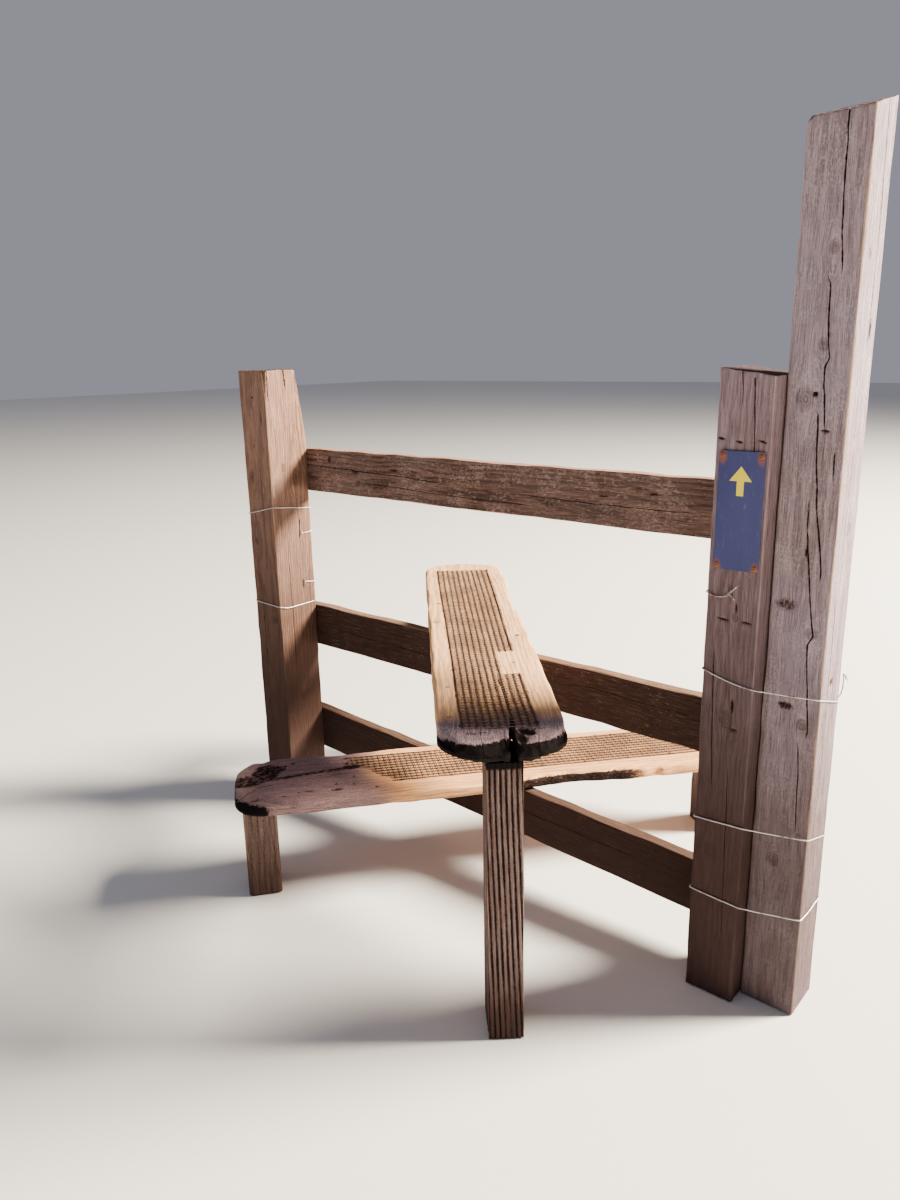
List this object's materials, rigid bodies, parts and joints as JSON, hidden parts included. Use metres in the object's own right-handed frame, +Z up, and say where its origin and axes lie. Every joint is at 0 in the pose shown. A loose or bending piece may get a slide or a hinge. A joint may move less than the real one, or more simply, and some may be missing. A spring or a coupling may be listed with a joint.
{
  "type": "wooden step stile",
  "caption": "Weathered timber step stile: two crossing treads on legs, between rails and posts, with a tall hand post.",
  "frame": {"origin": "middle of the stile's footprint box, at ground level", "axes": "+X along the fence to the right as seen by a walker coming over, +Y over the stile to the far side, +Z up"},
  "size_m": [1.4702, 1.0788, 1.5409],
  "materials": {
    "post_wood": "weathered, rough sawn",
    "rail_wood": "weathered, dark",
    "tread_wood": "weathered, foot-worn",
    "leg_wood": "weathered, ridged grain",
    "mesh_wire": "dull, dirty galvanised",
    "fence_wire": "galvanised",
    "sign_plate": "satin slate blue",
    "sign_screw": "rusty"
  },
  "bodies": {
    "root": {"left_post": "post_wood", "right_post": "post_wood", "hand_post": "post_wood", "top_rail": "rail_wood", "middle_rail": "rail_wood", "bottom_rail": "rail_wood", "upper_tread": "tread_wood", "lower_tread": "tread_wood", "upper_near_leg": "leg_wood", "upper_far_leg": "leg_wood", "lower_near_leg": "leg_wood", "lower_far_leg": "leg_wood", "upper_mesh_strands": "mesh_wire", "upper_mesh_cross_wires": "mesh_wire", "lower_mesh_strands": "mesh_wire", "lower_mesh_cross_wires": "mesh_wire", "sign_plate": "sign_plate", "sign_screws": "sign_screw", "left_post_wire_upper": "fence_wire", "left_post_wire_lower": "fence_wire", "right_posts_wire_upper": "fence_wire", "right_posts_wire_middle": "fence_wire", "right_posts_wire_lower": "fence_wire", "tie_wire": "fence_wire"}
  },
  "joints": []
}
